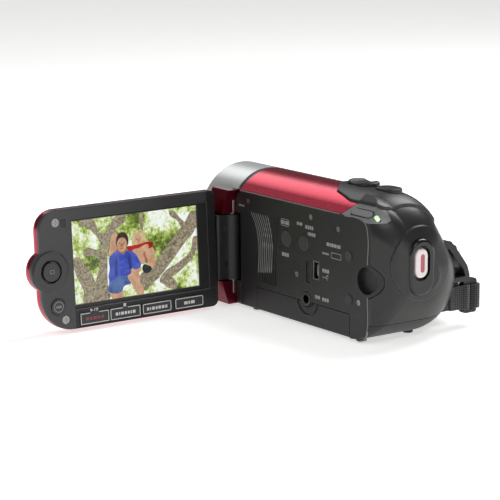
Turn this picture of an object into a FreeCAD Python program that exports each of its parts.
import FreeCAD, Part
import math
import os
from FreeCAD import Matrix, Vector

# Pocket camcorder with a fold-out monitor. Millimetres, +Z up, +Y out of the lens,
# +X to the hand strap. The origin is the tripod socket's mouth in the underside.
# Every shape is built with the monitor folded out, as in use.

os.makedirs("parts", exist_ok=True)

# ---- driving dimensions ----
wall = 1.8                  # thickness of the moulded casings
seam = 0.2                  # gap between two casings
running = 0.05              # radial clearance of a pin in its bore

bay_x = -22.0               # flat left wall, which the folded monitor covers
roof_x, roof_z, roof_r = -5.0, 34.9, 21.6        # round roof, coaxial with the lens
grip_x, grip_r = 5.2, 20.5                       # round right flank, resting on Z = 0
facet_angle = 129.7         # direction that the flat between wall and roof faces
dome_start, dome_depth = -44.0, 22.0             # where the tail begins to round off
tail_left = -26.2           # how far left the tail would bulge without the flat wall
shoulder_angle = 108.0      # where the tail's fuller left shoulder meets the round roof
dome_centre = (-3.0, 28.5)  # the point that the tail shrinks towards
dome_power = 2.2            # 2 is an ellipse, more is boxier
nose_y = 45.0               # front face of the casing
ring_back, ring_front = 31.3, 50.9               # silver lens ring

hinge_x, hinge_y = -23.2, 32.4                   # upright hinge of the monitor
swivel_y, swivel_z = 36.75, 24.65                # axis that the monitor tilts about
block_z = (11.0, 38.4)      # height of the hinge block
panel_t = 8.2               # monitor thickness
panel_face = swivel_y - panel_t / 2
panel_tilt = 3.5            # the monitor rests with its top leaning forward
screen_x, screen_z = -69.83, 26.6                # centre of the picture
screen_w, screen_h = 59.8, 33.6                  # a 2.7 inch picture, 16 to 9
panel_right, panel_left = 38.9, -45.2            # edges, from the picture's centre
panel_top, panel_bottom = 22.4, -26.3
stick_u, stick_v, stick_r = -40.9, -1.8, 8.6     # joystick, from the picture's centre
cover_roll = 5.0            # how the monitor's back edges round off
button_travel = 0.5


# ---- helpers ----
def box(x, y, z):
    return Part.makeBox(x[1] - x[0], y[1] - y[0], z[1] - z[0], Vector(x[0], y[0], z[0]))


def grow(pair, by):
    return pair[0] - by, pair[1] + by


def rod(radius, start, axis, length):
    return Part.makeCylinder(radius, length, Vector(*start), Vector(*axis))


def tube(outer, inner, start, axis, length):
    return rod(outer, start, axis, length).cut(rod(inner, start, axis, length))


def cut_all(shape, tools):
    return shape.cut(Part.makeCompound(list(tools)))


def group(solids):
    return Part.makeCompound(list(solids))


def rounded_box(x, y, z, radius, axis):
    """A box whose four edges along one axis are rounded."""
    shape = box(x, y, z)
    edges = [e for e in shape.Edges if abs(e.tangentAt(e.FirstParameter)[axis]) > 0.99]
    return shape.makeFillet(radius, edges)


def soften(shape, radius, wanted):
    """Rounds the edges whose middle point passes the test."""
    edges = [e for e in shape.Edges
             if wanted(e.valueAt((e.FirstParameter + e.LastParameter) / 2))]
    return shape.makeFillet(radius, edges)


def pill(width, height, centre, depth, axis):
    """A bar with round ends: width across, height along the long way, depth along axis."""
    radius = width / 2
    half = height / 2 - radius
    core = Part.makeBox(width, 2 * half, depth, Vector(-radius, -half, 0))
    ends = [Part.makeCylinder(radius, depth, Vector(0, s * half, 0)) for s in (-1, 1)]
    shape = core.multiFuse(ends).removeSplitter()
    if axis == "y":
        shape.rotate(Vector(), Vector(1, 0, 0), 90)
        shape.translate(Vector(0, depth, 0))
    if axis == "x":
        shape.rotate(Vector(), Vector(0, 0, 1), 90)
        shape.rotate(Vector(), Vector(0, 1, 0), 90)
    shape.translate(Vector(*centre))
    return shape


def save(name, shape):
    if not shape.isValid():
        raise ValueError(name + " is not a valid solid")
    shape.exportStep("parts/" + name + ".step")
    low, high = shape.BoundBox, shape.BoundBox
    print(f"{name:22s} {len(shape.Solids):2d} solids {shape.Volume:9.1f} mm3"
          f"  X {low.XMin:7.1f} {high.XMax:6.1f}  Y {low.YMin:6.1f} {high.YMax:6.1f}"
          f"  Z {low.ZMin:6.1f} {high.ZMax:6.1f}")


# ---- outer form of the body ----
def polar(centre, radius, degrees):
    a = math.radians(degrees)
    return centre[0] + radius * math.cos(a), centre[1] + radius * math.sin(a)


def lean_angle(big, small):
    """Direction that the flat flank faces, touching the roof's and the grip's circles."""
    dx, dz = grip_x - roof_x, grip_r - roof_z
    return math.degrees(math.atan2(dz, dx)) + math.degrees(math.acos((big - small) / math.hypot(dx, dz)))


def right_half(start, big, small):
    """Points of the roof's arc from a start angle, the flank and the grip's arc to the base."""
    roof, grip = (roof_x, roof_z), (grip_x, grip_r)
    lean = lean_angle(big, small)
    return [polar(roof, big, start), polar(roof, big, (start + lean) / 2), polar(roof, big, lean),
            polar(grip, small, lean), polar(grip, small, (lean - 90) / 2), polar(grip, small, -90)]


def wire_through(pairs, kinds, y, scale=1.0):
    """Closed outline across Y from points and a string of (l)ine and (a)rc spans."""
    p = [Vector(dome_centre[0] + scale * (a - dome_centre[0]), y,
                dome_centre[1] + scale * (b - dome_centre[1])) for a, b in pairs]
    p.append(p[0])
    edges, at = [], 0
    for kind in kinds:
        if kind == "l":
            edges.append(Part.LineSegment(p[at], p[at + 1]).toShape())
            at += 1
        else:
            edges.append(Part.Arc(p[at], p[at + 1], p[at + 2]).toShape())
            at += 2
    return Part.Wire(edges)


def trunk_wire(inset, y):
    """True outline of the body: flat left wall, facet, round roof, flank, grip and base."""
    left = bay_x + inset
    big, small, corner = roof_r - inset, grip_r - inset, 2.0
    facet = math.radians(facet_angle)
    facet_low = roof_z + (big - math.cos(facet) * (left - roof_x)) / math.sin(facet)
    bend = corner * (1 - math.sqrt(0.5))
    pairs = [(left, inset + corner), (left, facet_low)] + right_half(facet_angle, big, small)
    pairs += [(left + corner, inset), (left + bend, inset + bend)]
    return wire_through(pairs, "llalala", y)


def tail_wire(inset, y, scale):
    """Outline that the tail shrinks from. It is fuller than the body at the left, so that
    the flat wall and the facet run on further back than the round flank."""
    left, big, small, corner = tail_left + inset, roof_r - inset, grip_r - inset, 6.0
    bend = corner * (1 - math.sqrt(0.5))
    pairs = [(left, inset + corner), (left, 46.0), (left + 3.6, 53.4 - inset)]
    pairs += right_half(shoulder_angle, big, small)
    pairs += [(left + corner, inset), (left + bend, inset + bend)]
    return wire_through(pairs, "laalala", y, scale)


def half_space(point, normal, size=200.0):
    """A large block on the side of a plane that its normal points to."""
    block = Part.makeBox(size, size, size, Vector(-size / 2, -size / 2, 0))
    turn = FreeCAD.Rotation(Vector(0, 0, 1), Vector(*normal))
    block.Placement = FreeCAD.Placement(Vector(*point), turn).multiply(block.Placement)
    return block


def body_form(inset, front):
    """The body's outer form, or with an inset its hollow, from the tail to a front plane."""
    left = bay_x + inset
    outline = Part.Face(trunk_wire(inset, dome_start))
    trunk = outline.extrude(Vector(0, front - dome_start, 0))
    depth = dome_depth - inset
    wires = []
    for t in (0, 0.12, 0.25, 0.38, 0.5, 0.62, 0.73, 0.83, 0.91, 0.97):
        scale = (1 - t ** dome_power) ** (1 / dome_power)
        wires.append(tail_wire(inset, dome_start - t * depth, scale))
    tail = Part.makeLoft(wires, True, False)
    tail = tail.common(box((left, 60), (-80, dome_start), (-20, 80)))
    rise = Vector(math.cos(math.radians(facet_angle)), 0, math.sin(math.radians(facet_angle)))
    facet_point = Vector(roof_x, 0, roof_z) + rise * (roof_r - inset)
    tail = tail.cut(half_space(tuple(facet_point), tuple(rise)))
    return trunk.fuse(tail).removeSplitter()


outer = body_form(0, ring_back)
hollow = body_form(wall, ring_back + 1)
shell = outer.cut(hollow)
proud = body_form(-0.8, ring_back - 5)

# ---- strap's anchorages ----
strap_front = (24.0, 16.0, 19.0)
strap_z = (7.0, 31.0)
anchor_r = 2.2
webbing_z, webbing_y, webbing_t = (6.2, 16.2), (-52.4, -51.0), 1.4
webbing_slot = box((16.0, 40.0), grow(webbing_y, 0.15), grow(webbing_z, 0.2))

# ---- borders between the casings ----
seam_ring_y = (29.0, ring_back - 0.1)
base_z = 7.4                # seam round the tail and the right flank
facet_z = 48.7              # seam under the facet
flank_z = 33.0              # seam along the right flank
cover_slope = 0.95          # the roof's rear edge leans back as it rises
bay_plate = rounded_box((bay_x - 1, bay_x + wall), (-55.6, ring_back), (-0.1, facet_z), 5.0, 0)
cover_back = half_space((0, -39.0, facet_z), (0, 1, cover_slope))
cover_rest = half_space((0, -39.0 - seam, facet_z), (0, -1, -cover_slope))
above_facet = box((-40, 0), (-80, 60), (facet_z + seam, 80))
above_flank = box((0, 60), (-80, 60), (flank_z + seam, 80))
deck_outline = [(-16.6, -56.5), (-16.6, -38.0), (-13.2, -25.5), (-6.0, -19.0), (12.5, -19.0), (12.5, -56.5)]


def deck_column(grow):
    """Upright column whose plan is the control deck's, grown by a margin."""
    points = [Vector(x, y, 44.0) for x, y in deck_outline]
    wire = Part.makePolygon(points + points[:1])
    column = Part.Face(wire).extrude(Vector(0, 0, 30))
    edges = [e for e in column.Edges if abs(e.tangentAt(e.FirstParameter).z) > 0.99]
    column = column.makeFillet(3.2, edges)
    return column.makeOffsetShape(grow, 0.01, join=2) if grow else column


deck = proud.cut(hollow).common(deck_column(0))
deck_room = deck_column(seam)

# lids in the underside
card_x, card_y, card_z = (bay_x - 1, -8.1), (-44.0, 17.0), (-1.0, 9.8)
cell_x, cell_y, cell_z = (3.0, 30.0), (-43.5, -7.0), (-1.0, 11.0)
lid_gap = 0.3
knuckle_r, pin_r = 0.9, 0.4
card_axis_x, cell_axis_x = card_x[1] - knuckle_r, cell_x[0] + knuckle_r


card_block = box(card_x, card_y, card_z)
card_room = box((card_x[0], card_x[1] + lid_gap), grow(card_y, lid_gap), (card_z[0], card_z[1] + lid_gap))
cell_block = box(cell_x, cell_y, cell_z)
cell_room = box(grow(cell_x, lid_gap), grow(cell_y, lid_gap), (cell_z[0], cell_z[1] + lid_gap))
relief = box((bay_x - 1, bay_x + 0.5), (-60.0, 28.0), (-1, card_z[1] - 0.1))
jack_room_r = 3.5


def lid_pin(axis_x, y_range):
    return rod(pin_r, (axis_x, y_range[0] - 2.0, knuckle_r), (0, 1, 0), y_range[1] - y_range[0] + 4.0)


def lid(block, axis_x, y_range):
    """A hinged piece of the casing, with a knuckle rolled round its pin."""
    plate = shell.common(block)
    side = 1 if axis_x > 0 else -1
    edge = sorted((axis_x, axis_x - side * 5))
    plate = plate.cut(box(edge, (-80, 80), (-1, 6)))
    knuckle = rod(knuckle_r, (axis_x, y_range[0], knuckle_r), (0, 1, 0), y_range[1] - y_range[0])
    lug = box(sorted((axis_x, axis_x + side * 1.2)), y_range, (0.0, wall))
    plate = plate.multiFuse([knuckle, lug]).removeSplitter()
    return plate.cut(rod(pin_r + running, (axis_x, -80, knuckle_r), (0, 1, 0), 160))


def card_cover():
    bore = side_bore(jack_y, jack_z, jack_room_r, 8)
    return cut_all(lid(card_block, card_axis_x, card_y), [relief, bore])


def battery_cover():
    return lid(cell_block, cell_axis_x, cell_y)


# ---- fittings of the flat left wall: (Y, Z) of each ----
buttons = {"display_button": (-3.7, 33.5, 3.4), "web_button": (-15.1, 33.4, 3.3)}
usb_y, usb_z = (-25.2, -20.9), (19.7, 27.5)
jack_y, jack_z, jack_r, jack_length = -16.8, 10.9, 1.8, 9.0
side_screws = [(22.7, 44.9), (-19.6, 44.6), (-37.1, 42.4), (-10.4, 19.9), (-50.0, 15.4)]
pads = [(-44.1, 32.9), (-44.3, 15.6)]
stick_room = (-54.6, 24.9, 5.4)
notch = box((bay_x - 1, bay_x + 3.4), (28.0, ring_back + 1), (block_z[0] - 0.6, block_z[1] + 0.6))
screw_r, screw_head = 1.1, 0.6


def side_bore(y, z, radius, depth):
    return rod(radius, (bay_x - 1, y, z), (1, 0, 0), depth + 1)


def left_wall():
    plate = shell.common(bay_plate)
    tools = [notch, card_room, power_room]
    tools += [side_bore(y, z, r + 0.2, 4) for y, z, r in buttons.values()]
    tools += [side_bore(y, z, screw_r + 0.05, screw_head + 0.15) for y, z in side_screws]
    tools += [side_bore(y, z, screw_r / 2 + 0.05, wall + 1) for y, z in side_screws]
    tools += [side_bore(y, z, 2.05, 0.5) for y, z in pads]
    y, z, radius = stick_room
    tools.append(side_bore(y, z, radius + 0.8, 6))
    tools.append(box((bay_x - 1, bay_x + 4), usb_y, usb_z))
    tools.append(box((bay_x - 1, bay_x + 0.5), (-19.1, -16.6), (17.8, 26.7)))
    tools.append(side_bore(jack_y, jack_z, jack_room_r - 0.3, 4))
    tools.append(relief)
    # the ribbed speaker field: curved grooves, with sound slots through their lower ends
    for i in range(8):
        groove = speaker_groove(9.9 + 1.3 * i, 0.25, 0.35, (12.5, 41.0))
        tools.append(groove)
        tools.append(speaker_groove(9.9 + 1.3 * i, 0.25, 3.0, (12.6, 18.0)))
    return cut_all(plate, tools).fuse(stick_well()).removeSplitter()


def speaker_groove(top_y, half, depth, z_range):
    """A slender groove in the flat wall, bowed forward at its top, along an arc."""
    radius = 62.0
    centre_y, centre_z = top_y - 6.0 - radius, 20.0
    ring = tube(radius + half, radius - half, (bay_x - 1, centre_y, centre_z), (1, 0, 0), depth + 1)
    return ring.common(box((bay_x - 2, bay_x + 5), (-10, 30), z_range))


def stick_well():
    """Round recess in the wall's rear edge that takes the joystick when the monitor is shut."""
    y, z, radius = stick_room
    cup = rod(radius + 1.3, (bay_x, y, z), (1, 0, 0), 3.6)
    return cup.cut(side_bore(y, z, radius, 2.4)).common(outer)


# ---- casings ----
tail_disc_r = 14.5          # raised disc round the record button
pill_at = (-3.6, 29.8)      # its surround
surround_w, surround_h, surround_front, surround_back = 12.6, 22.4, -66.7, -63.0
record_at = (-4.2, 31.6)
record_w, record_h = 6.2, 11.6


def rear_shell():
    tail = shell.common(box((-60, 60), (-80, dome_start - seam), (base_z + seam, 80)))
    tail = cut_all(tail, [bay_plate, deck_room, power_zone, cover_back])
    disc_column = rod(tail_disc_r, (-2.3, -80, 31.0), (0, 1, 0), 30)
    disc = body_form(-0.7, dome_start + 1).cut(outer).common(disc_column)
    tail = tail.fuse(disc.common(box((-60, 60), (-80, dome_start), (-20, 80))))
    y, z, radius = stick_room
    tools = [rod(radius + 1.6, (bay_x - 1, y, z), (1, 0, 0), 4.8), webbing_slot,
             pill(surround_w + 0.1, surround_h + 0.1, (pill_at[0], -80, pill_at[1]), 30, "y")]
    return cut_all(tail, tools).fuse(strap_lug().cut(outer)).removeSplitter()


def strap_lug():
    """Arch on the tail's right side. It keeps the strap's webbing against the casing."""
    arch = [(14.0, 36.0), (20.6, 35.4), (25.4, 29.8), (29.2, 24.8), (30.5, 21.0), (30.3, 18.3), (20.0, 18.3)]
    hole = [(19.0, 33.0), (23.4, 28.2), (27.3, 23.4), (28.4, 20.4), (19.0, 20.3)]

    def prism(points, y0, y1):
        corners = [Vector(x, y0, z) for x, z in points]
        return Part.Face(Part.makePolygon(corners + corners[:1])).extrude(Vector(0, y1 - y0, 0))

    return prism(arch, -55.5, -49.0).cut(prism(hole, -60.0, -40.0))


power_zone = box((-40, -14.2), (-60.0, -20), (47.6, 80)).common(cover_rest)


def power_deck():
    """Satin strip on the facet behind the roof cover, with the power button and its lamp."""
    strip = shell.common(power_zone)
    return cut_all(strip, [deck_room, bay_plate, power_room, lamp_bore])


# the facet's own axes: out of the facet, along it towards +Y, and up it
facet_rad = math.radians(facet_angle)
facet_out = Vector(math.cos(facet_rad), 0, math.sin(facet_rad))
facet_mid = Vector(-20.0, -49.6, 50.45)


def on_facet(shape):
    """Places a shape drawn at the origin, +Z outward, on the middle of the power strip."""
    placed = shape.copy()
    placed.rotate(Vector(), Vector(0, 1, 0), 90 - facet_angle)
    placed.translate(facet_mid)
    return placed


power_room = on_facet(pill(4.0, 13.2, (0, 0, -4), 8, "z"))
power_button = on_facet(pill(3.0, 12.2, (0, 0, -1.6), 1.9, "z"))
lamp_bore = on_facet(Part.makeCylinder(0.9, 8, Vector(0, -8.1, -4)))
lamp = on_facet(Part.makeCylinder(0.85, 1.8, Vector(0, -8.1, -2.2)))


def roof_cover():
    upper = above_facet.fuse(above_flank)
    cover = shell.common(upper).common(cover_back)
    cover = cover.common(box((-60, 60), (-60, seam_ring_y[0] - seam), (-1, 80)))
    return cut_all(cover, [deck_room])


def right_wall():
    flank = shell.common(box((0, 60), (dome_start, ring_back - seam), (base_z + seam, flank_z)))
    behind = shell.common(box((0, 60), (dome_start, ring_back - seam), (base_z + seam, 80)))
    flank = flank.fuse(behind.common(cover_rest)).removeSplitter()
    anchor = rod(anchor_r, (0, strap_front[1], strap_front[2]), (1, 0, 0), 60)
    return cut_all(flank, [deck_room, anchor, cell_room])


def base_shell():
    floor = shell.common(box((-60, 60), (-80, ring_back - seam), (-1, base_z)))
    tools = [bay_plate, card_room, cell_room, rod(insert_r, (0, 0, -1), (0, 0, 1), 4), webbing_slot,
             lid_pin(card_axis_x, card_y), lid_pin(cell_axis_x, cell_y)]
    tools += [rod(base_screw_r + 0.05, (x, y, -1), (0, 0, 1), 1.7) for x, y in base_screws]
    tools += [rod(base_screw_r / 2 + 0.05, (x, y, -1), (0, 0, 1), 4) for x, y in base_screws]
    tools += [rod(foot_r + 0.1, (x, y, -1), (0, 0, 1), 1.5) for x, y in feet]
    tools.append(latch_room)
    return cut_all(floor, tools)


base_screws, base_screw_r = [(8.0, 12.0), (-4.0, 24.0), (-4.0, -46.6)], 1.25
feet = [(-17.8, 21.5), (7.5, 22.5), (-17.6, -46.7), (6.0, -46.6)]
foot_r = 2.1
insert_r, socket_r, socket_depth = 5.5, 3.175, 5.5
latch_x, latch_y = (6.6, 11.6), (-5.6, -1.2)
latch_travel = 2.0
latch_room = box(grow(latch_x, 0.2), (latch_y[0] - 0.2, latch_y[1] + latch_travel + 0.2), (-1.0, wall + 0.2))


# ---- nose ----
ring_room = rod(roof_r + seam, (roof_x, ring_back - 2, roof_z), (0, 1, 0), 30)
cheek_radius = (23.7 ** 2 + 4.7 ** 2) / (2 * 4.7)
cheek_split = -18.0
cheek_lap = 2.8             # how far the cheek closes the ring's rear edge
cheek_z = (0.4, 48.6)
block_room = box((hinge_x - 20, -19.2), (0, hinge_y + 9.4), (block_z[0] - 0.6, block_z[1] + 0.6))


def nose_form(inset):
    return Part.Face(trunk_wire(inset, ring_back)).extrude(Vector(0, nose_y - inset - ring_back, 0))


def front_shell():
    form = nose_form(0).cut(ring_room).common(box((cheek_split + seam, 60), (0, 80), (-1, 80)))
    edges = [e for e in form.Edges
             if all(abs(v.Y - nose_y) < 0.01 for v in e.Vertexes)
             and e.BoundBox.ZMin < 12 and e.BoundBox.XMax > -15 and e.BoundBox.ZMax < 40
             and (Vector(roof_x, 0, roof_z) - Vector(e.CenterOfMass.x, 0, e.CenterOfMass.z)).Length > roof_r + 1.5]
    form = form.makeFillet(3.0, edges)
    room = nose_form(wall).common(box((cheek_split + wall, 60), (0, 80), (-1, 80)))
    room = room.cut(rod(roof_r + wall + seam, (roof_x, 0, roof_z), (0, 1, 0), 60))
    mics = [rod(0.6, (x, nose_y - 3, z), (0, 1, 0), 4) for x in (2, 4, 6, 13, 15, 17) for z in (6.2, 8.0)]
    return cut_all(form, [room] + mics + [switch_room])


switch_x, switch_z = (-9.5, -4.5), (5.0, 9.0)
switch_room = box((-12.6, -1.4), (nose_y - 3, nose_y + 1), (5.4, 8.6))


def cheek():
    """Red corner in front of the hinge. Its side is bowed, fullest at mid height."""
    bow = rod(cheek_radius, (-30.7 + cheek_radius, ring_back, 24.5), (0, 1, 0), nose_y - ring_back)
    form = bow.common(box((-40, cheek_split), (0, 80), cheek_z))
    form = form.cut(ring_room.cut(box((-60, 60), (0, ring_back + cheek_lap), (-1, 80))))
    form = form.cut(rod(barrel_room_r, (roof_x, 0, roof_z), (0, 1, 0), 60))
    form = soften(form, 3.0, lambda p: abs(p.y - nose_y) < 0.01 and p.x < -27)
    return cut_all(form, [block_room, hinge_pin()])


def hinge_pin():
    return rod(1.2, (hinge_x, hinge_y, 5.0), (0, 0, 1), 39.4)


def hinge_block():
    barrel = rod(3.2, (hinge_x, hinge_y, block_z[0]), (0, 0, 1), block_z[1] - block_z[0])
    arm = rounded_box((-30.6, -20.6), (panel_face - 0.2, swivel_y + 3.8), block_z, 1.2, 2)
    block = barrel.fuse(arm).removeSplitter()
    tools = [rod(1.2 + running, (hinge_x, hinge_y, 0), (0, 0, 1), 60),
             rod(shaft_r + running, (-40, swivel_y, swivel_z), (1, 0, 0), 14.4)]
    tools += [rod(screw_r + 0.05, (x, panel_face - 1, z), (0, 1, 0), 1.5) for x, z in block_screws]
    screws = [screw(screw_r, (x, panel_face - 0.1, z), (0, 1, 0), 0.5, 0.3) for x, z in block_screws]
    return group([cut_all(block, tools)] + screws)


block_screws = [(-27.6, 31.5), (-26.2, 17.5)]
shaft_r = 2.5

# ---- lens ----
barrel_room_r = 15.3
window_w, window_h = 17.0, 9.6


def along_lens(outer_r, inner_r, y0, y1):
    return tube(outer_r, inner_r, (roof_x, y0, roof_z), (0, 1, 0), y1 - y0)


def lens_ring():
    ring = along_lens(roof_r, 19.4, ring_back, ring_front)
    ring = soften(ring, 0.7, lambda p: abs(p.y - ring_front) < 0.01)
    behind_cheek = box((-60, cheek_split + seam), (0, ring_back + cheek_lap + seam), grow(cheek_z, seam))
    return cut_all(ring, [behind_cheek, block_room, hinge_pin()])


def seam_ring():
    """Dark ring in the groove between the silver ring and the roof cover."""
    ring = along_lens(roof_r - 0.4, 19.0, *seam_ring_y)
    ring = ring.common(box((bay_x + wall + 0.1, 60), (0, 60), (flank_z + 0.3, 80)))
    return ring.cut(box((-60, 0), (0, 60), (0, facet_z)))


def lens_bezel():
    """Black insert in the ring: 37 mm filter thread and the letterbox window."""
    cup = along_lens(19.4, 18.25, 44.6, 50.0)
    plate = rod(19.4, (roof_x, 43.4, roof_z), (0, 1, 0), 1.2)
    return cup.fuse(plate).removeSplitter().cut(lens_window(0, 43, 45))


def lens_window(extra, y0, y1):
    x = (roof_x - window_w / 2 - extra, roof_x + window_w / 2 + extra)
    z = (roof_z - window_h / 2 - extra, roof_z + window_h / 2 + extra)
    return rounded_box(x, (y0, y1), z, 1.6, 1)


def blade(side):
    """One half of the lens cover, parked clear of the window above or below it."""
    half_w = window_w / 2 + 0.8
    near = window_h / 2 + 0.4
    x = (roof_x - half_w, roof_x + half_w)
    z = (roof_z + near, roof_z + near + window_h / 2 + 0.9)
    if side < 0:
        z = (roof_z - near - window_h / 2 - 0.9, roof_z - near)
    return rounded_box(x, (42.3, 43.1), z, 0.35, 1)


def lens_barrel():
    """Barrel with a wide front cell and a narrow rear bore for the moving groups."""
    front = along_lens(15.0, 13.6, 26.0, 41.6)
    waist = along_lens(15.0, 8.0, 24.0, 26.0)
    rear = along_lens(9.4, 8.0, -2.0, 24.0)
    return front.multiFuse([waist, rear]).removeSplitter().cut(block_room)


def disc_lens(radius, y_mid, half_thick, bulge):
    """A lens that is convex on both faces."""
    sphere_r = (radius ** 2 + bulge ** 2) / (2 * bulge)
    front = Part.makeSphere(sphere_r, Vector(roof_x, y_mid + half_thick + bulge - sphere_r, roof_z))
    back = Part.makeSphere(sphere_r, Vector(roof_x, y_mid - half_thick - bulge + sphere_r, roof_z))
    blank = rod(radius, (roof_x, y_mid - 9, roof_z), (0, 1, 0), 18)
    return blank.common(front).common(back)


# ---- right hand side: strap ----


def strap_path(offset):
    """Plan of the strap's outer or inner face, as three arcs from tail to nose."""
    points = [(33.4, -46.0), (38.2, -32.0), (39.4, -14.0), (36.4, 4.0), (31.0, 19.0)]
    return [Vector(x - offset, y, 0) for x, y in points]


def band(path_out, path_in, z):
    outer_edge = Part.BSplineCurve()
    outer_edge.interpolate(path_out)
    inner_edge = Part.BSplineCurve()
    inner_edge.interpolate(path_in)
    ends = [Part.LineSegment(path_out[-1], path_in[-1]), Part.LineSegment(path_in[0], path_out[0])]
    wire = Part.Wire([outer_edge.toShape(), ends[0].toShape(), inner_edge.toShape(), ends[1].toShape()])
    face = Part.Face(wire)
    face.translate(Vector(0, 0, z[0]))
    return face.extrude(Vector(0, 0, z[1] - z[0]))


def strap_pad():
    return band(strap_path(0), strap_path(4.6), strap_z)


# ---- monitor, built upright and then tilted on its swivel ----
def tilt(shape):
    leaned = shape.copy()
    leaned.rotate(Vector(0, swivel_y, swivel_z), Vector(1, 0, 0), -panel_tilt)
    return leaned


def panel_point(u, v, y):
    return Vector(screen_x + u, y, screen_z + v)


outer_corners = (14.0, 8.5)     # bottom and top, on the joystick's side


def panel_form(inset, y0, y1):
    """The monitor's outline, with its round joystick corner, between two depths."""
    u = (panel_left + inset, panel_right - inset)
    v = (panel_bottom + inset, panel_top - inset)
    radii = {(0, 0): outer_corners[0], (0, 1): outer_corners[1], (1, 0): 3.0, (1, 1): 2.5}
    form = box((screen_x + u[0], screen_x + u[1]), (y0, y1), (screen_z + v[0], screen_z + v[1]))
    for (right, top), radius in radii.items():
        corner = panel_point(u[right], v[top], (y0 + y1) / 2)
        form = soften(form, max(radius - inset, 0.5), lambda p, c=corner: p.sub(c).Length < 0.1)
    lobe = rod(stick_r - inset, tuple(panel_point(stick_u, stick_v, y0)), (0, 1, 0), y1 - y0)
    return form.fuse(lobe).removeSplitter()


cover_front = panel_face + 1.7
panel_back = panel_face + panel_t
recess_u, recess_v = (-30.4, 34.6), (-18.3, 17.6)
strip_u, strip_v = (-30.4, 38.0), (-25.9, -18.6)
keys = {"play_key": (-28.4, -14.9), "stop_key": (-14.4, 0.1), "clip_key": (0.9, 15.3), "mode_key": (16.8, 31.2)}
key_v = (-25.2, -20.4)
function_u, function_v, function_r = -38.2, -16.3, 3.2
monitor_screws, monitor_screw_r = [(-37.5, 17.1), (-34.9, -22.0)], 1.65
sensor_at, sensor_v = ((-35.0, -32.8), (panel_face, panel_face + 0.6)), (14.9, 18.3)


def panel_box(u, y, v):
    return box((screen_x + u[0], screen_x + u[1]), y, (screen_z + v[0], screen_z + v[1]))


def panel_bore(u, v, radius, y0, y1):
    return rod(radius, tuple(panel_point(u, v, y0)), (0, 1, 0), y1 - y0)


def monitor_cover():
    """Lacquered back. Its edges roll in towards the back, except along the hinge."""
    form = panel_box((panel_left, panel_right + 20), (cover_front, panel_back), (panel_bottom, panel_top))
    for level, radius in zip((panel_bottom, panel_top), outer_corners):
        corner = panel_point(panel_left, level, (cover_front + panel_back) / 2)
        form = soften(form, radius, lambda p, c=corner: p.sub(c).Length < 0.1)
    form = soften(form, cover_roll, lambda p: abs(p.y - panel_back) < 0.01 and p.x < screen_x + panel_right)
    lobe = panel_bore(stick_u, stick_v, stick_r, cover_front, panel_back)
    lobe = soften(lobe, cover_roll, lambda p: abs(p.y - panel_back) < 0.01)
    form = form.common(panel_form(0, cover_front, panel_back)).fuse(lobe).removeSplitter()
    front_room = panel_form(1.3, cover_front - 1, cover_front + 1.5)
    back_room = panel_form(4.0, cover_front + 1.4, panel_back - 1.4)
    return cut_all(form, [front_room, back_room, swivel_shaft()])


def monitor_bezel():
    form = panel_form(0, panel_face, cover_front)
    form = soften(form, 0.5, lambda p: abs(p.y - panel_face) < 0.01)
    tools = [panel_box(recess_u, (panel_face - 1, cover_front + 1), recess_v),
             panel_box(strip_u, (panel_face - 1, panel_face + 0.25), strip_v),
             panel_bore(stick_u, stick_v, 6.3, panel_face - 1, cover_front + 1),
             panel_bore(function_u, function_v, function_r + 0.15, panel_face - 1, cover_front + 1),
             panel_box(*sensor_at, sensor_v), swivel_shaft()]
    for u, v in monitor_screws:
        tools.append(panel_bore(u, v, monitor_screw_r + 0.1, panel_face - 1, panel_face + 0.7))
        tools.append(panel_bore(u, v, monitor_screw_r / 2 + 0.05, panel_face, cover_front + 1))
    for low, high in keys.values():
        tools.append(panel_box((low - 0.1, high + 0.1), (panel_face - 1, cover_front + 1),
                               (key_v[0] - 0.1, key_v[1] + 0.1)))
    return cut_all(form, tools)


def swivel_shaft():
    return rod(shaft_r, (-35.0, swivel_y, swivel_z), (1, 0, 0), 9.0)


def monitor_frame():
    """Rim of the picture's recess, with the wide bevel on the hinge side."""
    rim = panel_box((recess_u[0] + 0.05, recess_u[1] - 0.05), (panel_face + 0.5, cover_front),
                    (recess_v[0] + 0.05, recess_v[1] - 0.05))
    sight = panel_box((-screen_w / 2, screen_w / 2), (panel_face, cover_front + 1), (-screen_h / 2, screen_h / 2))
    return rim.cut(sight)


def joystick_ring():
    dish = panel_bore(stick_u, stick_v, stick_r - 0.6, panel_face - 0.9, panel_face)
    dish = soften(dish, 0.6, lambda p: abs(p.y - panel_face + 0.9) < 0.01)
    ring = dish.fuse(panel_bore(stick_u, stick_v, 6.2, panel_face, cover_front + 0.8)).removeSplitter()
    well = panel_bore(stick_u, stick_v, 4.7, panel_face - 2, panel_face + 0.9)
    stem = panel_bore(stick_u, stick_v, 1.6, panel_face - 2, cover_front + 2)
    return cut_all(ring, [well, stem])


def panel_piece(u, v, depth):
    """A rectangular piece of the monitor, its depth counted from the face."""
    return panel_box(u, (panel_face + depth[0], panel_face + depth[1]), v)


def panel_rod(u, v, radius, depth):
    return panel_bore(u, v, radius, panel_face + depth[0], panel_face + depth[1])


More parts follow.
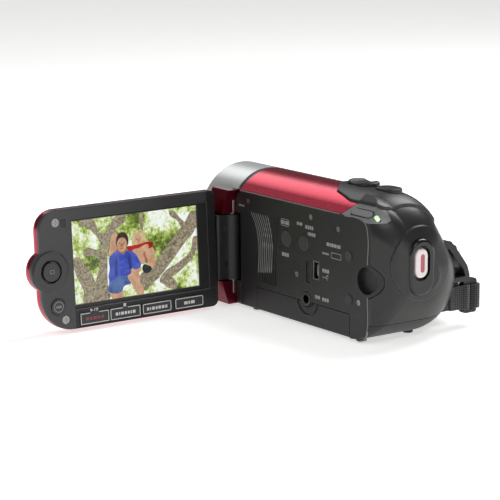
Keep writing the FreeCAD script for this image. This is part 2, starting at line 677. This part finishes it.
# ---- small pieces ----
def screw(radius, start, axis, head, shank):
    """A cross-head screw. The start is the middle of its head's face."""
    way = Vector(*axis)
    body = rod(radius, start, axis, head)
    tip = Vector(*start) + way * head
    body = body.fuse(rod(radius * 0.5, tuple(tip), axis, shank))
    across = [v for v in (Vector(1, 0, 0), Vector(0, 1, 0), Vector(0, 0, 1)) if abs(v.dot(way)) < 0.5]
    length, width, depth = radius * 1.3, radius * 0.32, head * 0.6
    for long_way, short_way in (across, across[::-1]):
        low = Vector(*start) - long_way * (length / 2) - short_way * (width / 2) - way * 0.1
        size = long_way * length + short_way * width + way * (depth + 0.1)
        corner = Vector(min(low.x, low.x + size.x), min(low.y, low.y + size.y), min(low.z, low.z + size.z))
        body = body.cut(Part.makeBox(abs(size.x), abs(size.y), abs(size.z), corner))
    return body


def side_button(y, z, radius):
    cap = rod(radius, (bay_x - 0.25, y, z), (1, 0, 0), 2.6)
    cap = soften(cap, 0.3, lambda p: p.x < bay_x)
    return cap.fuse(rod(radius + 0.8, (bay_x + 2.3, y, z), (1, 0, 0), 0.7))


def usb_socket():
    y, z = grow(usb_y, -0.15), grow(usb_z, -0.15)
    can = box((bay_x + 0.2, bay_x + 8.0), y, z)
    mouth = box((bay_x - 1, bay_x + 7.0), grow(y, -0.35), grow(z, -0.35))
    tongue = box((bay_x + 1.2, bay_x + 7.0), (-23.6, -22.6), (21.4, 25.8))
    return can.cut(mouth).fuse(tongue)


def av_jack():
    barrel = rod(3.0, (bay_x - 0.1, jack_y, jack_z), (1, 0, 0), jack_length + 1.1)
    return barrel.cut(side_bore(jack_y, jack_z, jack_r, jack_length))


def record_surround():
    """Long oval frame round the record button, with its soft front edge."""
    depth = surround_back - surround_front
    frame = pill(surround_w, surround_h, (pill_at[0], surround_front, pill_at[1]), depth, "y")
    frame = soften(frame, 1.2, lambda p: abs(p.y - surround_front) < 0.01)
    return frame.cut(pill(record_w + 2.2, record_h + 2.2, (record_at[0], -80, record_at[1]), 30, "y"))


record_front = -66.9


def record_button():
    """Domed cap with a flange behind the surround, and a long oval window let into its face."""
    cap = pill(record_w, record_h, (record_at[0], record_front, record_at[1]), 4.6, "y")
    cap = soften(cap, 0.7, lambda p: abs(p.y - record_front) < 0.01)
    flange = pill(record_w + 4, record_h + 4, (record_at[0], record_front + 4.6, record_at[1]), 0.8, "y")
    window = pill(2.1, 7.3, (record_at[0] + 0.3, record_front - 1, record_at[1]), 1.2, "y")
    return cap.fuse(flange).cut(window)


# ---- top controls: plan centre of each, on the raised deck ----
zoom_at, zoom_size = (-2.5, -29.0), (8.6, 15.0)
photo_at, photo_size = (-2.5, -44.6), (8.6, 11.4)
top_z = roof_z + roof_r + 0.8
zoom_pivot_z = 55.4


def zoom_lever():
    """Rocker with a finger dip across its middle."""
    cap = pill(*zoom_size, (*zoom_at, top_z - 2.6), 4.0, "z")
    cap = soften(cap, 0.9, lambda p: p.z > top_z + 1.3)
    dip = rod(9.0, (zoom_at[0] - 10, zoom_at[1] + 0.5, top_z + 9.4), (1, 0, 0), 20)
    return cap.cut(dip)


def photo_button():
    cap = pill(*photo_size, (*photo_at, top_z - 2.6), 3.4, "z")
    return soften(cap, 0.8, lambda p: p.z > top_z + 0.7)


def top_room(at, size):
    return pill(size[0] + 0.8, size[1] + 0.8, (*at, 40), 30, "z")


def control_deck():
    return cut_all(deck, [top_room(zoom_at, zoom_size), top_room(photo_at, photo_size)])


def buckle():
    """Square ring that joins the webbing to the padded strap."""
    frame = rounded_box((29.6, 36.6), (-53.0, -50.4), (4.4, 18.4), 1.2, 1)
    return frame.cut(rounded_box((31.3, 34.9), (-60, -40), grow(webbing_z, 0.3), 0.6, 1))


def strap_webbing():
    """Woven tape: one length from the tail to the buckle, one from the buckle to the pad."""
    rear = box((18.5, 29.5), webbing_y, webbing_z)
    front = box((34.95, 36.3), (-50.2, -46.1), webbing_z).fuse(box((33.0, 36.3), (-47.4, -46.1), webbing_z))
    return group([rear, front])


def strap_fittings():
    """Post and washer at the strap's front end, and the buckle at its rear end."""
    post = rod(anchor_r - 0.05, (22.0, strap_front[1], strap_front[2]), (1, 0, 0), 4.3)
    washer = rod(4.2, (25.75, strap_front[1], strap_front[2]), (1, 0, 0), 0.6)
    return group([post.fuse(washer), buckle()])


def rubber_feet():
    stands = [soften(rod(foot_r, (x, y, -0.9), (0, 0, 1), 1.4), 0.4, lambda p: p.z < -0.8) for x, y in feet]
    return group(stands + [rod(2.0, (bay_x - 0.3, y, z), (1, 0, 0), 0.75) for y, z in pads])


def case_screws():
    side = [screw(screw_r, (bay_x + 0.1, y, z), (1, 0, 0), screw_head, 1.4) for y, z in side_screws]
    return group(side + [screw(base_screw_r, (x, y, 0.15), (0, 0, 1), 0.5, 1.5) for x, y in base_screws])


def chassis():
    """Folded steel frame that carries the board, with the tripod insert pressed into its foot."""
    web = box((-1.4, -0.4), (-42.0, -7.0), (2.1, 44.0))
    foot = box((-7.4, -0.4), (-42.0, 20.0), (2.1, 3.1))
    insert = rod(insert_r, (0, 0, 0), (0, 0, 1), 7.0)
    frame = web.multiFuse([foot, insert]).removeSplitter()
    return frame.cut(rod(socket_r, (0, 0, -1), (0, 0, 1), socket_depth + 1))


def main_board():
    """Circuit board, with the open can of the memory card's socket on an arm of it."""
    board = box((-9.8, -8.6), (-42.0, 14.0), (12.0, 46.0)).cut(box((-20, 0), (-6.0, 20.0), (26.0, 50.0)))
    can = box((-16.6, -9.8), (-12.0, 14.0), (14.0, 25.0))
    return board.fuse(can.cut(box((-15.9, -11.0), (-11.4, 13.4), (13.0, 24.0)))).removeSplitter()


def battery_pack():
    return rounded_box((3.4, 18.4), (-42.6, -8.4), (8.2, 33.0), 1.5, 1)


# ---- write every piece ----
still = {
    "left_side_shell": left_wall(), "roof_cover": roof_cover(), "power_deck": power_deck(),
    "control_deck": control_deck(), "right_side_shell": right_wall(), "rear_shell": rear_shell(),
    "base_shell": base_shell(), "front_shell": front_shell(), "front_cheek": cheek(),
    "seam_ring": seam_ring(), "lens_ring": lens_ring(), "lens_bezel": lens_bezel(),
    "lens_barrel": lens_barrel(), "front_lens": disc_lens(13.5, 37.0, 0.8, 2.4),
    "image_sensor": box((-11.0, 1.0), (-5.0, -2.05), (30.0, 40.0)),
    "hinge_pins": group([hinge_pin(), lid_pin(card_axis_x, card_y), lid_pin(cell_axis_x, cell_y)]),
    "record_surround": record_surround(), "power_lamp": lamp,
    "usb_socket": usb_socket(), "av_jack": av_jack(),
    "speaker": rod(5.6, (bay_x + wall + 0.1, 9.0, 16.0), (1, 0, 0), 2.4),
    "main_board": main_board(), "chassis": chassis(), "battery_pack": battery_pack(),
    "rubber_feet": rubber_feet(), "case_screws": case_screws(),
    "strap_pad": strap_pad(), "strap_fittings": strap_fittings(), "strap_webbing": strap_webbing(),
}
moving = {
    "display_button": side_button(*buttons["display_button"]),
    "web_button": side_button(*buttons["web_button"]),
    "card_cover": card_cover(), "battery_cover": battery_cover(),
    "battery_latch": box(latch_x, latch_y, (-0.2, wall - 0.2)),
    "record_button": record_button(),
    "power_button": power_button, "zoom_lever": zoom_lever(), "photo_button": photo_button(),
    "lens_cover_upper": blade(1), "lens_cover_lower": blade(-1),
    "lens_cover_switch": rounded_box((-12.2, -6.9), (nose_y - 2.6, nose_y + 0.8), (5.7, 8.3), 0.8, 1),
    "zoom_group": rod(7.93, (roof_x, 10.0, roof_z), (0, 1, 0), 5.0),
    "focus_group": rod(7.93, (roof_x, 0.5, roof_z), (0, 1, 0), 3.0),
    "hinge_block": hinge_block(),
}
monitor = {
    "monitor_cover": monitor_cover(), "monitor_bezel": monitor_bezel(),
    "monitor_frame": monitor_frame(), "joystick_ring": joystick_ring(),
    "swivel_shaft": swivel_shaft(),
    "picture_glass": panel_piece(grow((-screen_w / 2, screen_w / 2), -0.05),
                                 grow((-screen_h / 2, screen_h / 2), -0.05), (0.9, 1.6)),
    "picture_panel": panel_piece((-31.5, 32.0), (-17.8, 17.9), (1.75, 4.2)),
    "monitor_screws": group([screw(monitor_screw_r, tuple(panel_point(u, v, panel_face + 0.1)), (0, 1, 0), 0.55, 2.0)
                             for u, v in monitor_screws]),
    "function_button": soften(panel_rod(function_u, function_v, function_r, (-0.5, 2.4)), 0.4,
                              lambda p: p.y < panel_face - 0.4),
    "joystick_plunger": panel_rod(stick_u, stick_v, 1.1, (1.45, 3.4)).fuse(
        panel_rod(stick_u, stick_v, 2.4, (3.4, 4.0))),
    "joystick_gimbal": panel_rod(stick_u, stick_v, 0.8, (0.15, 1.3)),
    "joystick_cap": soften(panel_rod(stick_u, stick_v, 3.9, (-1.5, -0.05)), 0.5,
                           lambda p: p.y < panel_face - 1.4),
}
for name, (low, high) in keys.items():
    monitor[name] = panel_piece((low, high), key_v, (-0.1, 1.2))
monitor = {name: tilt(shape) for name, shape in monitor.items()}

for name, shape in {**still, **moving, **monitor}.items():
    save(name, shape)
print(len(still) + len(moving) + len(monitor), "nodes")
